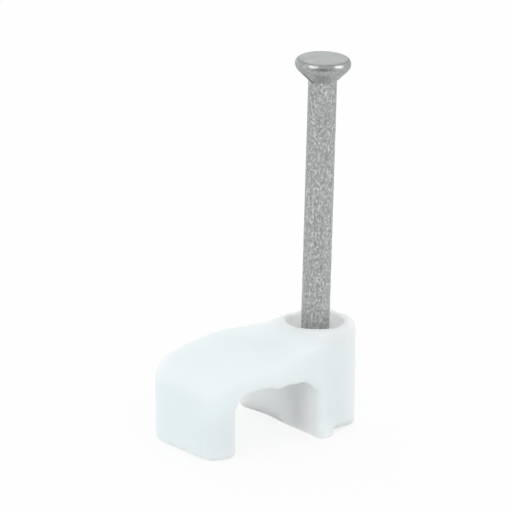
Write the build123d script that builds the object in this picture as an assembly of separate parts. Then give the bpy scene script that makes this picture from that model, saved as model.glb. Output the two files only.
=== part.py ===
from build123d import *
import math
import os

# Cable clip for one flat cable, moulded in one piece, with its masonry nail standing in the boss, as sold.
# Millimetres. X runs across the cable, from the hook's free leg to the nail boss. Y runs along the cable.
# Z points away from the wall. The origin is where the nail's bore meets the wall.

# Cable channel
channel_width = 6.7
channel_height = 4.65
channel_outer_radius = 1.6
channel_inner_radius = 0.7
leg_flare = 0.09

# Hook
inner_wall = 1.75
leg_thickness = 2.2
arm_crown = 2.05
shoulder_drop = 0.35
shoulder_radius = 2.0
shoulder_slope_deg = 20.0
crown_reach = 1.9
front_depth = 2.54
front_slant_deg = 11.0
front_bend_radius = 4.0
back_depth = 6.5
back_slant_deg = 4.4
back_corner_radius = 1.9
rear_wall = 1.4
rear_bend_radius = 0.5

# Nail boss and the ramp that leads up to it
boss_height = 8.05
boss_width = 5.0
boss_corner_radius = 1.75
nose_width = 1.2
nose_lead = 0.2
crest_radius = 1.5
ramp_spread = 2.75
ramp_offset = 0.2

# Recess and bore in the boss
recess_clearance = 0.1
recess_bevel = 0.2
seat_depth = 0.65
pocket_radius = 1.87
pocket_depth = 1.5
pocket_taper_height = 0.35
bore_clearance = 0.18

# Rounded edges of the moulding
hook_edge_radius = 1.4
boss_edge_radius = 0.6
mouth_edge_radius = 0.55
leg_foot_radius = 0.45
boss_foot_radius = 0.18
boss_front_foot_radius = 0.65

# Nail
nail_length = 25.0
shank_diameter = 2.0
head_diameter = 3.92
head_height = 1.6
head_cone_height = 0.98
head_bowl_radius = 0.55
head_rim_radius = 0.38
point_length = 2.6
point_diameter = 0.3
nail_standing = 19.4
nail_lean_deg = 1.17
nail_lean_heading_deg = -42.0

# Places worked out from the sizes above
channel_left = -inner_wall - channel_width
leg_outer = channel_left - leg_thickness
arm_top = channel_height + arm_crown
boss_half = boss_width / 2
ramp_radius = crest_radius + ramp_spread + boss_height - arm_top
overshoot = 1.0


def side_walls():
    """Everything under the rounded shoulder of the outer leg, seen along the cable."""
    leg_top = arm_top - shoulder_drop - shoulder_radius
    crown_start = leg_outer + shoulder_radius + crown_reach
    sky = boss_height + overshoot
    with BuildSketch(Plane.XZ) as sketch:
        with BuildLine():
            low = Line((leg_outer, 0), (leg_outer, leg_top))
            turn = JernArc(low @ 1, low % 1, shoulder_radius, shoulder_slope_deg - 90)
            rise = Spline(turn @ 1, (crown_start, arm_top), tangents=[turn % 1, (1, 0)])
            Polyline(rise @ 1, (crown_start, sky), (boss_half + overshoot, sky), (boss_half + overshoot, 0), low @ 0)
        make_face()
    return extrude(sketch.sketch, back_depth + overshoot, both=True)


def plan_walls():
    """Everything inside the clip's outline seen from above: the hook with its round back corner, and the boss."""
    nose_left = -inner_wall - nose_lead
    front_left = -front_depth + (nose_left - leg_outer) * math.tan(math.radians(front_slant_deg))
    back_left = back_depth - (nose_left - leg_outer) * math.tan(math.radians(back_slant_deg))
    rear_right = -inner_wall + rear_wall
    corners = {
        (nose_left, -front_depth): front_bend_radius,
        (boss_half, -front_depth): boss_corner_radius,
        (boss_half, boss_half): boss_corner_radius,
        (rear_right, boss_half): rear_bend_radius,
        (rear_right, back_depth): back_corner_radius,
    }
    with BuildSketch() as sketch:
        with BuildLine():
            edge = FilletPolyline(
                (leg_outer, front_left), *corners, (leg_outer, back_left), radius=list(corners.values())
            )
            Line(edge @ 1, edge @ 0)
        make_face()
    return extrude(sketch.sketch, boss_height + overshoot)


def top_surface():
    """Everything under the arm's top and the ramp that carries it up to the boss rim."""
    far = abs(leg_outer) + back_depth
    with BuildSketch(Plane.XZ.offset(-ramp_offset)) as sketch:
        with BuildLine():
            rim = Line((0, boss_height), (-crest_radius, boss_height))
            slope = Spline(rim @ 1, (-ramp_radius, arm_top), tangents=[(-1, 0), (-1, 0)])
            Polyline(slope @ 1, (-far, arm_top), (-far, 0), (0, 0), rim @ 0)
        make_face()
    return revolve(sketch.sketch, Axis((0, ramp_offset, 0), (0, 0, 1)))


def channel():
    """The cable's way through the hook. The outer leg is a little thicker at its tip."""
    with BuildSketch(Plane.XZ) as sketch:
        with BuildLine():
            way = FilletPolyline(
                (channel_left + leg_flare, 0),
                (channel_left, channel_height),
                (-inner_wall, channel_height),
                (-inner_wall, 0),
                radius=[channel_outer_radius, channel_inner_radius],
            )
            Polyline(way @ 1, (-inner_wall, -overshoot), (channel_left + leg_flare, -overshoot), way @ 0)
        make_face()
    return extrude(sketch.sketch, back_depth + overshoot, both=True)


def boss():
    """The column that the nail stands in, with a rounded rim."""
    column = extrude(RectangleRounded(boss_width, boss_half + front_depth, boss_corner_radius), boss_height)
    column = Pos(0, (boss_half - front_depth) / 2, 0) * column
    return fillet(column.edges().group_by(Axis.Z)[-1], boss_edge_radius)


def nearest_edge(body, place):
    return body.edges().sort_by_distance(place)[0]


def foot_edges(body, place):
    """The edges round the flat foot at this place. A bore in the foot keeps its edge."""
    return body.faces().sort_by_distance(place)[0].outer_wire().edges()


def hook_and_boss():
    """The moulding's outside with the cable channel. Each rounding runs on along all the edges it meets smoothly."""
    hook = top_surface() & plan_walls() & side_walls()
    hook = fillet(nearest_edge(hook, (boss_half, 0, boss_height)), hook_edge_radius)
    body = hook + boss() - channel()
    for mouth in (-front_depth, back_depth):
        body = fillet(nearest_edge(body, (channel_left, mouth, channel_height / 2)), mouth_edge_radius)
    body = fillet(foot_edges(body, (leg_outer + leg_thickness / 2, 0, 0)), leg_foot_radius)
    return fillet(foot_edges(body, (0, 0, 0)), boss_foot_radius)


def boss_front_foot():
    """What the rounded lower front edge of the boss leaves away, beside the nose of the inner leg."""
    radius = boss_front_foot_radius
    with BuildSketch(Plane.YZ.offset(nose_width - inner_wall)) as sketch:
        with BuildLine():
            edge = RadiusArc((-front_depth, radius), (radius - front_depth, 0), radius)
            Polyline(
                edge @ 1,
                (-front_depth, -overshoot),
                (-front_depth - overshoot, -overshoot),
                (-front_depth - overshoot, radius),
                edge @ 0,
            )
        make_face()
    return extrude(sketch.sketch, boss_width)


def nail_way():
    """The bore and, over it, the recess with a bevelled rim that the nail's head comes to rest in."""
    bore_radius = shank_diameter / 2 + bore_clearance
    recess_radius = head_diameter / 2 + recess_clearance
    rim_radius = recess_radius + recess_bevel
    floor = boss_height - pocket_depth
    with BuildSketch(Plane.XZ) as sketch:
        with BuildLine():
            Polyline(
                (0, -overshoot),
                (bore_radius, -overshoot),
                (bore_radius, floor - pocket_taper_height),
                (pocket_radius, floor),
                (recess_radius, boss_height - seat_depth),
                (recess_radius, boss_height - recess_bevel),
                (rim_radius, boss_height),
                (rim_radius, boss_height + overshoot),
                (0, boss_height + overshoot),
                close=True,
            )
        make_face()
    return revolve(sketch.sketch, Axis.Z)


def clip_body():
    return hook_and_boss() - boss_front_foot() - nail_way()


def nail():
    """Upright masonry nail with its point at the origin: point, shank, coned head with a rounded rim, flat top."""
    shank = shank_diameter / 2
    head = head_diameter / 2
    top = nail_length
    with BuildSketch(Plane.XZ) as sketch:
        with BuildLine():
            side = Polyline((0, 0), (point_diameter / 2, 0), (shank, point_length), (shank, top - head_height))
            bowl = FilletPolyline(
                side @ 1,
                (head, top - head_height + head_cone_height),
                (head, top),
                (0, top),
                radius=[head_bowl_radius, head_rim_radius],
            )
            Line(bowl @ 1, side @ 0)
        make_face()
    return revolve(sketch.sketch, Axis.Z)


def placed_nail():
    """The nail as it stands in the boss, leaning a little within the play of the bore."""
    bore_top = boss_height - pocket_depth
    head_top = boss_height + nail_standing
    heading = math.radians(nail_lean_heading_deg)
    lean_axis = Axis((0, 0, bore_top), (-math.sin(heading), math.cos(heading), 0))
    standing = Pos(0, 0, head_top - nail_length) * nail()
    return standing.rotate(lean_axis, nail_lean_deg)


os.makedirs("parts", exist_ok=True)
export_step(clip_body(), "parts/clip_body.step")
export_step(placed_nail(), "parts/nail.step")
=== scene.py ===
"""Nail in cable clip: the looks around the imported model, in metres, in the part's own frame."""
import math

import bmesh
import bpy
from mathutils import Matrix, Vector, noise


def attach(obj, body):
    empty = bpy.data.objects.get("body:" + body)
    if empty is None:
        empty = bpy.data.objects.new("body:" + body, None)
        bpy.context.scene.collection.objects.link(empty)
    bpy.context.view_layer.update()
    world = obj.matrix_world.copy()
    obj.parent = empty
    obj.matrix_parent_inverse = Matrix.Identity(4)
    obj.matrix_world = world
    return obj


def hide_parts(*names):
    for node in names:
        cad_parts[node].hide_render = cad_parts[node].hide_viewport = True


MM = 0.001
BACKGROUND_RAYS = ("Camera", "Glossy", "Transmission")

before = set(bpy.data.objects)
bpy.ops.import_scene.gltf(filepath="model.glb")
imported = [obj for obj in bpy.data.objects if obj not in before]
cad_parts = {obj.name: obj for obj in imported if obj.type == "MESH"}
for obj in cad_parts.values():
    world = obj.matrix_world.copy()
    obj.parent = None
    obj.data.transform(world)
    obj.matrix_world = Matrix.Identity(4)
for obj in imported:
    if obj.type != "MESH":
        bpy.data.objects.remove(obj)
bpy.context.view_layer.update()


class Wire:
    """One link or value in a material. Python's operators add the Math nodes."""

    def __init__(self, finish, socket):
        self.finish = finish
        self.socket = socket

    def math(self, operation, *values):
        settings = {"operation": operation}
        return self.finish.node("ShaderNodeMath", settings, dict(enumerate((self,) + values)))

    def __add__(self, other):
        return self.math("ADD", other)

    def __sub__(self, other):
        return self.math("SUBTRACT", other)

    def __rsub__(self, other):
        return self.finish.node("ShaderNodeMath", {"operation": "SUBTRACT"}, {0: other, 1: self})

    def __mul__(self, other):
        return self.math("MULTIPLY", other)

    __radd__ = __add__
    __rmul__ = __mul__

    def step(self, low, high):
        """0 below low and 1 above high, with a smooth change between them. It runs down where low is above high."""
        ends = {0: self, 1: min(low, high), 2: max(low, high), 3: float(low > high), 4: float(low <= high)}
        return self.finish.node("ShaderNodeMapRange", {"interpolation_type": "SMOOTHSTEP"}, ends)

    def bell(self, middle, reach):
        """1 at the middle, and 0 from the reach on."""
        return (self - middle).math("ABSOLUTE").step(reach, 0.0)


class Finish:
    """The nodes of a material or of the world, written as expressions."""

    def __init__(self, owner):
        owner.use_nodes = True
        self.owner = owner
        self.tree = owner.node_tree
        self.tree.nodes.clear()

    def node(self, kind, settings=None, inputs=None, output=0):
        made = self.tree.nodes.new(kind)
        for name, value in (settings or {}).items():
            if name == "stops":
                lay_stops(made.color_ramp, value)
            else:
                setattr(made, name, value)
        for name, value in (inputs or {}).items():
            if isinstance(value, Wire):
                self.tree.links.new(value.socket, made.inputs[name])
            else:
                made.inputs[name].default_value = value
        return Wire(self, made.outputs[output]) if made.outputs else None

    def place(self, stretch=(1, 1, 1)):
        """The place on the part in millimetres, stretched if asked."""
        here = self.node("ShaderNodeTexCoord", output="Object")
        scale = tuple(share / MM for share in stretch)
        return self.node("ShaderNodeMapping", inputs={"Vector": here, "Scale": scale})

    def axes(self, where):
        return [self.node("ShaderNodeSeparateXYZ", inputs={"Vector": where}, output=axis) for axis in range(3)]

    def vector(self, operation, *values, output=0):
        inputs = dict(enumerate(values))
        return self.node("ShaderNodeVectorMath", {"operation": operation}, inputs, output)

    def along_and_off(self, where, foot, direction):
        """How far a place lies along an axis from its foot, and how far off the axis."""
        arm = self.vector("SUBTRACT", where, foot)
        along = self.vector("DOT_PRODUCT", arm, direction, output=1)
        on_axis = self.vector("MULTIPLY", along, direction)
        off = self.vector("LENGTH", self.vector("SUBTRACT", arm, on_axis), output=1)
        return along, off

    def near(self, where, centre, reach):
        """1 at the centre and 0 from the reach on."""
        return self.vector("DISTANCE", where, centre, output=1).step(reach, 0.0)

    def noise(self, where, per_mm, detail=2.0, roughness=0.5):
        inputs = {"Vector": where, "Scale": per_mm, "Detail": detail, "Roughness": roughness}
        return self.node("ShaderNodeTexNoise", inputs=inputs)

    def ramp(self, value, stops):
        return self.node("ShaderNodeValToRGB", {"stops": stops}, {"Fac": value})

    def blend(self, amount, first, second):
        """A colour that goes from the first to the second with the amount."""
        return self.node("ShaderNodeMix", {"data_type": "RGBA"}, {0: amount, 6: first, 7: second}, output=2)

    def bump(self, height, depth_mm):
        return self.node("ShaderNodeBump", inputs={"Height": height, "Strength": 1.0, "Distance": depth_mm * MM})

    def background_rays(self):
        """1 for the rays that show the background: from the camera, off a gloss or through glass."""
        rays = [self.node("ShaderNodeLightPath", output=f"Is {kind} Ray") for kind in BACKGROUND_RAYS]
        return rays[0].math("MAXIMUM", rays[1]).math("MAXIMUM", rays[2])

    def shader(self, **sockets):
        inputs = {name.replace("_", " "): value for name, value in sockets.items()}
        return self.node("ShaderNodeBsdfPrincipled", inputs=inputs)

    def end(self, surface, kind="ShaderNodeOutputMaterial"):
        self.node(kind, inputs={"Surface": surface})
        return self.owner


def material_finish(name):
    return Finish(bpy.data.materials.new(name))


def lay_stops(ramp, stops):
    while len(ramp.elements) < len(stops):
        ramp.elements.new(1.0)
    for element, (place, colour) in zip(ramp.elements, stops):
        element.position = place
        element.color = grey(colour) if isinstance(colour, (int, float)) else colour


def grey(value):
    return (value, value, value, 1.0)


# The clip's hollows and the leg in millimetres. Each pair is where a change starts and where it ends.
CHANNEL_RIGHT = (-1.65, -1.85)
CHANNEL_LEFT = (-8.7, -8.3)
CHANNEL_TOP = (4.6, 4.0)
CHANNEL_MOUTH = (-2.4, -0.9)
RECESS_SIDE = (2.2, 1.95)
RECESS_FLOOR = (5.6, 6.2)
FOOT = (0.45, 0.0)
LEG_SIDE = (-6.5, -9.0)
LEG_TOP = (5.5, 3.5)
LEG_PAINTED_SHADE = (-9.5, -1.1, 1.8)
# Colours: the skin's cloudiness, the leg's tint, painted shade on the leg, and painted light at the foot, in the
# channel and in the recess.
CLOUD_PALE = (0.788, 0.853, 0.866, 1)
CLOUD_PALER = (0.815, 0.873, 0.884, 1)
LEG_TINT = (0.73, 0.90, 0.90, 1)
PAINTED_SHADE_TINT = (0.30, 0.16, 0.24, 1)
FOOT_PAINTED_LIGHT = (0.93, 0.97, 0.97, 1)
CHANNEL_ENDS_PAINTED_LIGHT = (0.975, 1.0, 1.0, 1)
CHANNEL_MIDDLE_PAINTED_LIGHT = (0.905, 0.955, 0.955, 1)
RECESS_PAINTED_LIGHT = (0.98, 1.0, 0.995, 1)


def clip_plastic():
    """White moulded nylon: a soft sheen, faint cloudiness and a fine satin skin. Painted light makes the channel, the
    recess and the foot lighter, and painted shade darkens the leg's outer side low down.
    """
    finish = material_finish("clip_plastic")
    here = finish.place()
    across, depth, height = finish.axes(here)
    cloud = finish.noise(here, 0.22, detail=3.0)
    grain = finish.noise(here, 9.0, detail=2.0)
    in_channel = across.step(*CHANNEL_RIGHT) * height.step(*CHANNEL_TOP) * across.step(*CHANNEL_LEFT)
    in_channel = in_channel * depth.step(*CHANNEL_MOUTH)
    _, from_bore = finish.along_and_off(here, (0, 0, 0), (0, 0, 1))
    in_recess = from_bore.step(*RECESS_SIDE) * height.step(*RECESS_FLOOR)
    on_leg = across.step(*LEG_SIDE) * height.step(*LEG_TOP)
    skin = finish.blend(cloud, CLOUD_PALE, CLOUD_PALER)
    skin = finish.blend(0.15 * on_leg, skin, LEG_TINT)
    # painted shade: the leg's outer side is painted darker low down, where less light falls
    skin = finish.blend(0.1 * finish.near(here, LEG_PAINTED_SHADE, 3.0), skin, PAINTED_SHADE_TINT)
    # painted light: the bottom 0.45 mm is painted lighter, against the shade that falls near the floor
    skin = finish.blend(0.4 * height.step(*FOOT), skin, FOOT_PAINTED_LIGHT)
    # painted light: the channel's walls are painted lighter, most at its two mouths, standing in for light that
    # enters there and shines through the nylon
    channel_painted_light = finish.blend(depth.bell(3.2, 2.4), CHANNEL_ENDS_PAINTED_LIGHT, CHANNEL_MIDDLE_PAINTED_LIGHT)
    skin = finish.blend(in_channel, skin, channel_painted_light)
    return finish.end(
        finish.shader(
            # painted light: the recess is painted nearly white, against the shade inside it
            Base_Color=finish.blend(in_recess, skin, RECESS_PAINTED_LIGHT),
            Roughness=0.38 + 0.12 * cloud,
            IOR=1.5,
            Subsurface_Weight=1.0,
            Subsurface_Radius=(1.0, 1.0, 1.0),
            Subsurface_Scale=1.8 * MM,
            Normal=finish.bump(grain, 0.004),
        )
    )


# The nail's axis: a point on it in millimetres, and the way up. Heights along it are taken from that point.
NAIL_FOOT = (0.0, 0.0, 6.55)
NAIL_UP = (0.015174, -0.013663, 0.999792)
HEAD_TOP = 20.9
HEAD_WIDEST = 20.6
HEAD_FOOT = 19.3
# Places on the head in millimetres: two painted highlights on the rim, which is also smoother there, a painted dark
# reflection at the rim's front, and the two ends of a dark line.
PAINTED_HIGHLIGHT_SPOTS = [(-1.34, -1.08, 27.34), (0.08, -2.12, 27.34)]
PAINTED_DARK_REFLECTION = (-1.03, -1.66, 27.15)
DARK_LINE_ENDS = [(-1.43, -0.08, 26.7), (-0.69, -0.33, 25.86)]
# Colours along the noise of the flecks, the patches, the head's top and its cone.
FLECK_STOPS = [(0.28, (0.21, 0.22, 0.22, 1)), (0.50, (0.395, 0.41, 0.405, 1)), (0.70, (0.80, 0.82, 0.81, 1))]
PATCH_STOPS = [(0.3, 0.35), (0.7, 0.48)]
TOP_STOPS = [(0.35, (0.36, 0.41, 0.41, 1)), (0.5, (0.44, 0.46, 0.455, 1)), (0.65, (0.50, 0.48, 0.49, 1))]
CALM_STOPS = [(0.35, (0.35, 0.375, 0.375, 1)), (0.65, (0.40, 0.41, 0.41, 1))]


def nail_steel():
    """Zinc-coated hardened steel: a fine crystalline mottle, a smoother top, and a rim with two painted highlights
    and a painted dark reflection at its front.
    """
    finish = material_finish("nail_steel")
    here = finish.place()
    grain = finish.noise(finish.place(stretch=(1, 1, 0.7)), 6.5, detail=3.0, roughness=0.65)
    patches = finish.noise(here, 0.8, detail=2.0)
    tint = finish.noise(here, 1.6, detail=3.0, roughness=0.6)
    height, radius = finish.along_and_off(here, NAIL_FOOT, NAIL_UP)
    on_top = height.step(HEAD_TOP - 0.1, HEAD_TOP - 0.03)
    edge_of_top = height.bell(HEAD_TOP - 0.05, 0.06) * radius.step(1.4, 1.7)
    mottle = finish.blend(0.2, finish.ramp(grain, FLECK_STOPS), finish.ramp(patches, PATCH_STOPS))
    on_head = height.step(HEAD_FOOT - 0.1, HEAD_FOOT + 0.6)
    body = finish.blend(0.55 * on_head, mottle, finish.ramp(tint, CALM_STOPS))
    body = finish.blend(0.75 * on_top, body, finish.ramp(tint, TOP_STOPS))
    # painted highlight: two spots of the rim are painted near white where the lamps would glint, and are made
    # smoother there
    polish_and_painted_highlight = finish.near(here, PAINTED_HIGHLIGHT_SPOTS[0], 0.5).math("MAXIMUM", finish.near(here, PAINTED_HIGHLIGHT_SPOTS[1], 0.52))
    polish_and_painted_highlight = (1.8 * polish_and_painted_highlight * grain.step(0.3, 0.5)).math("MINIMUM", 1.0) * height.bell(HEAD_TOP - 0.16, 0.15)
    # a dark line runs down the left of the cone
    dark_line_way = Vector(DARK_LINE_ENDS[1]) - Vector(DARK_LINE_ENDS[0])
    length = dark_line_way.length
    along, off = finish.along_and_off(here, DARK_LINE_ENDS[0], tuple(dark_line_way.normalized()))
    dark_line = off.step(0.2, 0.1) * along.step(-0.1, 0.15) * along.step(length + 0.1, length - 0.1)
    # painted reflection: the front of the rim is painted dark, as the reflection of something dark; the dark line and
    # a darker edge round the top join it
    dark_reflection_and_lines = 0.75 * finish.near(here, PAINTED_DARK_REFLECTION, 1.3) * height.bell(HEAD_WIDEST, 0.2) * grain.step(0.2, 0.5)
    dark_reflection_and_lines = dark_reflection_and_lines.math("MAXIMUM", 0.9 * dark_line)
    dark_reflection_and_lines = dark_reflection_and_lines.math("MAXIMUM", 0.45 * edge_of_top * grain.step(0.3, 0.5))
    painted_and_marked = finish.blend(dark_reflection_and_lines, finish.blend(polish_and_painted_highlight, body, grey(0.97)), grey(0.09))
    return finish.end(
        finish.shader(
            Base_Color=painted_and_marked,
            Metallic=0.9,
            Roughness=0.36 + 0.2 * patches - 0.2 * polish_and_painted_highlight,
            Normal=finish.bump(grain * (1.0 - 0.7 * on_top), 0.03),
        )
    )


def wear(piece, material):
    piece.data.materials.clear()
    piece.data.materials.append(material)


def copied(node, name):
    """A new object with a copy of a CAD node's mesh, its doubled points joined, and its sizes in millimetres."""
    mesh = node.data.copy()
    mesh.name = name
    shape = bmesh.new()
    shape.from_mesh(mesh)
    bmesh.ops.remove_doubles(shape, verts=shape.verts, dist=0.001 * MM)
    shape.to_mesh(mesh)
    shape.free()
    mesh.transform(Matrix.Scale(1 / MM, 4))
    piece = bpy.data.objects.new(name, mesh)
    bpy.context.scene.collection.objects.link(piece)
    return piece


def pick(piece):
    bpy.ops.object.select_all(action="DESELECT")
    piece.select_set(True)
    bpy.context.view_layer.objects.active = piece


def modify(piece, kind, **settings):
    """Adds a modifier to the piece and applies it."""
    pick(piece)
    modifier = piece.modifiers.new(kind.lower(), kind)
    for name, value in settings.items():
        setattr(modifier, name, value)
    bpy.ops.object.modifier_apply(modifier=modifier.name)


def push_out(piece, amount):
    """Moves each point outward by amount(its place). The directions are all read before the first move."""
    points = piece.data.vertices
    directions = [point.normal.copy() for point in points]
    for point, direction in zip(points, directions):
        point.co += direction * amount(point.co)


def finish_piece(piece, material, body, node):
    """Back to metres, smooth shaded, dressed, and in the place of its CAD node."""
    piece.data.transform(Matrix.Scale(MM, 4))
    pick(piece)
    bpy.ops.object.shade_smooth()
    wear(piece, material)
    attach(piece, body)
    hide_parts(node)


def pull(place, centre, reach, move):
    """A smooth local shift: the whole move at the centre, and none from the reach on."""
    near = max(0.0, 1.0 - (place - Vector(centre)).length_squared / reach**2)
    return Vector(move) * near**2


# The boss as seen from above, and the rounding of its front foot, in millimetres.
BOSS_CORNER = 1.75
BOSS_STRAIGHT = 0.75
BOSS_FRONT = 2.54
FOOT_ROUND = 0.65
# Where the real moulding leaves the plain form: centre, reach and move in millimetres.
CLIP_PULLS = [
    ((-9.6, 5.2, 5.6), 2.0, (0, 0.02, 0.08)),
    ((-5.0, 5.6, 6.5), 2.4, (0, 0, 0.05)),
    ((-1.6, 5.1, 6.5), 2.6, (0, 0, -0.29)),
    ((-1.5, 4.3, 6.7), 1.3, (-0.03, 0, 0.17)),
    ((-1.5, 2.9, 7.6), 1.3, (0, -0.04, -0.12)),
    ((0.8, 2.2, 7.9), 2.3, (0, 0, -0.13)),
    ((2.4, -0.5, 4.5), 6.0, (0.045, -0.035, 0)),
    ((-1.8, 6.4, 0.8), 3.4, (-0.1, 0.4, 0.05)),
    ((-1.8, 6.4, 3.4), 3.0, (0, 0.22, 0)),
    ((-1.4, 6.3, 4.2), 1.3, (0, 0.15, 0)),
    ((-1.6, 6.4, 5.6), 1.5, (0, -0.1, 0)),
    ((-1.8, 3.2, 0.0), 2.6, (0, 0, 0.13)),
    ((-5.15, -2.2, 4.6), 1.0, (0, 0, -0.4)),
    ((-3.6, -2.2, 4.6), 1.8, (0, 0, -0.16)),
    ((-2.0, -2.2, 4.5), 1.1, (-0.28, 0, -0.3)),
    ((-1.1, -2.5, 0.1), 1.4, (-0.1, -0.22, 0)),
]
CREASE = Vector((0.1, -2.5, 6.6))
WRINKLES = Vector((-2.7, -2.1, 6.8))
RIDGES = [
    (Vector((-3.98, 0.4, 7.1)), Vector((-3.35, -1.05, 7.45))),
    (Vector((-4.6, 2.3, 6.85)), Vector((-4.35, 1.2, 6.98))),
]
# Reaches and heights on the clip, in millimetres.
RECESS_KEPT = 2.05
BORE_KEPT = 1.25
BORE_TOP = 5.0
WRINKLE_REACH = 2.4
CREASE_REACH = 2.2
RIDGE_HEIGHT = 0.035
RIDGE_HALF = 0.16
RING_HEIGHT = 0.02
RING_HALF = 0.09
RING_RADII = (2.32, 2.52)
LIP_HEIGHT = 0.055
LIP_RADIUS = 2.16
LIP_WIDTH = 0.34
LIP_TOP = 7.9
LIP_DEPTH = 0.5
CLIP_VOXEL = 0.08
NAIL_VOXEL = 0.055


def clip_skin(place):
    """How far the moulding's skin stands out, in millimetres: it makes up for the smoothing, and is never quite flat.

    In the bore and the recess it keeps to the plain form, because the nail slides there."""
    way_radius = RECESS_KEPT if place.z > BORE_TOP else BORE_KEPT
    outside = min(1.0, max(0.0, 4.0 * (math.hypot(place.x, place.y) - way_radius)))
    wrinkled = max(0.0, 1.0 - (place - WRINKLES).length / WRINKLE_REACH)
    return outside * (0.04 + noise.noise(place * 0.3) * 0.01 + noise.noise(place * 2.0) * 0.03 * wrinkled)


def ridge(place, start, end):
    """The height of a fine moulding line there: it runs from start to end and fades at both."""
    way = end - start
    share = (place - start).dot(way) / way.length_squared
    if not 0.0 < share < 1.0:
        return 0.0
    off = (place - start - way * share).length
    return RIDGE_HEIGHT * max(0.0, 1.0 - off / RIDGE_HALF) * min(1.0, 5.0 * share, 5.0 * (1.0 - share))


def ring_marks(place):
    """Two faint steps that the mould left round the front of the boss's rim."""
    if place.z < 7.2 or place.y > -0.8:
        return 0.0
    off_axis = math.hypot(place.x, place.y)
    return sum(RING_HEIGHT * max(0.0, 1.0 - abs(off_axis - radius) / RING_HALF) for radius in RING_RADII)


def square_foot(place):
    """Under the boss the front foot ends a little over the wall, with a nearly square edge."""
    round_part = min(BOSS_CORNER, max(0.0, place.x - BOSS_STRAIGHT))
    behind = place.y + BOSS_FRONT - BOSS_CORNER + math.sqrt(BOSS_CORNER**2 - round_part**2)
    low = max(0.0, 1.0 - place.z / FOOT_ROUND)
    beside = min(1.0, max(0.0, 4.0 * (place.x + 0.6)))
    share = beside * min(1.0, max(0.0, 2.0 - behind / FOOT_ROUND)) if low > 0.0 else 0.0
    lift = 0.34 - 0.08 * min(1.8, max(0.0, place.x))
    return Vector((0.0, -0.7 * max(0.0, behind) * share, lift * low * share))


def recess_lip(place):
    """The move that raises a fine lip round the recess."""
    off_axis = Vector((place.x, place.y, 0.0))
    off_ring = (off_axis.length - LIP_RADIUS) / LIP_WIDTH
    lip = max(0.0, 1.0 - off_ring**2 - ((place.z - LIP_TOP) / LIP_DEPTH) ** 2)
    return (Vector((0, 0, 0.3)) - off_axis.normalized()) * LIP_HEIGHT * lip


def clip_piece():
    """The moulding, with the soft edges and the slightly uneven skin of a small moulded part."""
    piece = copied(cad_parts["clip_body"], "clip")
    modify(piece, "REMESH", mode="VOXEL", voxel_size=CLIP_VOXEL)
    modify(piece, "SMOOTH", factor=0.5, iterations=6)
    crease = piece.vertex_groups.new(name="crease")
    for point in piece.data.vertices:
        near = max(0.0, 1.0 - (point.co - CREASE).length / CREASE_REACH)
        if near > 0.0:
            crease.add([point.index], min(1.0, 2.0 * near), "REPLACE")
    modify(piece, "SMOOTH", factor=0.7, iterations=50, vertex_group="crease")
    piece.vertex_groups.clear()
    push_out(piece, clip_skin)
    push_out(piece, lambda place: sum(ridge(place, *ends) for ends in RIDGES) + ring_marks(place))
    for point in piece.data.vertices:
        point.co += square_foot(point.co)
        place = point.co.copy()
        for centre, reach, move in CLIP_PULLS:
            point.co += pull(place, centre, reach, move)
        point.co += recess_lip(place)
    finish_piece(piece, clip_plastic(), "clip", "clip_body")


def nail_piece():
    """The nail, with the shallow dents and rough skin of a hardened and coated masonry nail."""
    piece = copied(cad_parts["nail"], "masonry_nail")
    modify(piece, "REMESH", mode="VOXEL", voxel_size=NAIL_VOXEL)
    modify(piece, "SMOOTH", factor=0.5, iterations=3)
    push_out(piece, lambda place: 0.015 + noise.noise(place * 1.1) * 0.012 + noise.noise(place * 4.0) * 0.006)
    finish_piece(piece, nail_steel(), "nail", "nail")


clip_piece()
nail_piece()


# Studio
FLOOR_SIZE = 4.0
FLOOR_GLOW = 0.8
WORLD_STRENGTH = 0.955
MIDDLE = Vector((-3.0, 1.5, 10.0)) * MM
AHEAD = Vector((0.669, 0.743, 0.0))
ABOVE = Vector((0, 0, 1))
# Name, place to the right, ahead and above of the middle, width and height in metres, and watts.
LAMPS = [
    ("left", -0.49, -0.35, 0.1, 0.20, 0.20, 0.10),
    ("right", 0.56, -0.20, 0.1, 0.20, 0.20, 0.12),
    ("back", 0.0, 0.6, 0.2, 0.6, 0.5, 0.12),
    ("back_left", -0.45, 0.4, 0.12, 0.5, 0.5, 0.245),
]
VIEW_PLACE = Vector((-181.793, -195.598, 108.623)) * MM
VIEW_RIGHT = Vector((0.743930, -0.668250, 0.003285))
VIEW_UP = Vector((0.223515, 0.253455, 0.941170))
LENS = 281.25
SENSOR_WIDTH = 36.0


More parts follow.
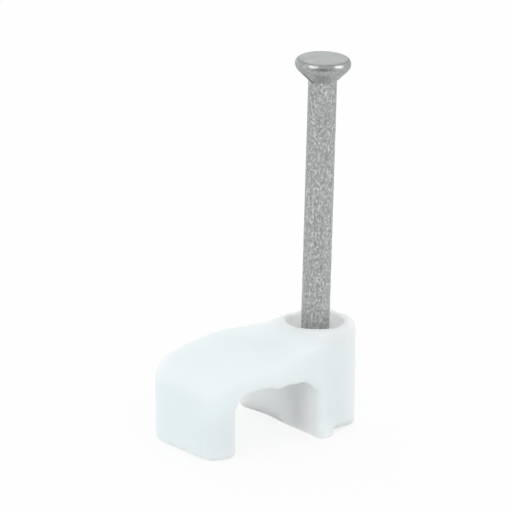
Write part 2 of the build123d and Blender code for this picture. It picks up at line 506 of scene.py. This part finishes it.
def paper_white():
    """Floor paper: it shows as white, and keeps a share of the shadow that falls on it."""
    finish = material_finish("floor_paper")
    paper = finish.node("ShaderNodeBsdfDiffuse", inputs={"Color": grey(0.98)})
    glow = finish.node("ShaderNodeEmission", inputs={"Color": grey(1.0), "Strength": 1.0})
    share = finish.background_rays() * FLOOR_GLOW
    return finish.end(finish.node("ShaderNodeMixShader", inputs={0: share, 1: paper, 2: glow}))


def studio_world():
    """Soft light from all round, behind which the background shows as white."""
    world = bpy.data.worlds.new("studio_world")
    bpy.context.scene.world = world
    sky = Finish(world)
    dim = sky.node("ShaderNodeBackground", inputs={"Color": grey(1.0), "Strength": WORLD_STRENGTH})
    white = sky.node("ShaderNodeBackground", inputs={"Color": grey(1.0), "Strength": 1.0})
    mixed = sky.node("ShaderNodeMixShader", inputs={0: sky.background_rays(), 1: dim, 2: white})
    sky.end(mixed, "ShaderNodeOutputWorld")


def soft_box(name, right, ahead, above, width, height, watts):
    """A soft lamp that is aimed at the middle of the part."""
    place = MIDDLE + VIEW_RIGHT * right + AHEAD * ahead + ABOVE * above
    lamp = bpy.data.lights.new(name, "AREA")
    lamp.shape = "RECTANGLE"
    lamp.size = width
    lamp.size_y = height
    lamp.energy = watts
    box = bpy.data.objects.new(name, lamp)
    bpy.context.scene.collection.objects.link(box)
    box.location = place
    box.rotation_euler = (MIDDLE - place).to_track_quat("-Z", "Y").to_euler()


def studio_camera():
    data = bpy.data.cameras.new("camera")
    data.lens = LENS
    data.sensor_width = SENSOR_WIDTH
    data.clip_start = 0.01
    data.clip_end = 50.0
    camera = bpy.data.objects.new("camera", data)
    bpy.context.scene.collection.objects.link(camera)
    back = VIEW_RIGHT.cross(VIEW_UP)
    turn = Matrix((VIEW_RIGHT, VIEW_UP, back)).transposed()
    camera.matrix_world = Matrix.Translation(VIEW_PLACE) @ turn.to_4x4()
    bpy.context.scene.camera = camera


def studio():
    bpy.ops.object.select_all(action="DESELECT")
    bpy.ops.mesh.primitive_plane_add(size=FLOOR_SIZE, location=(0, 0, 0))
    floor = bpy.context.object
    floor.name = "floor"
    wear(floor, paper_white())
    studio_world()
    for lamp in LAMPS:
        soft_box(*lamp)


studio()
studio_camera()
bpy.context.scene.view_settings.view_transform = "Standard"
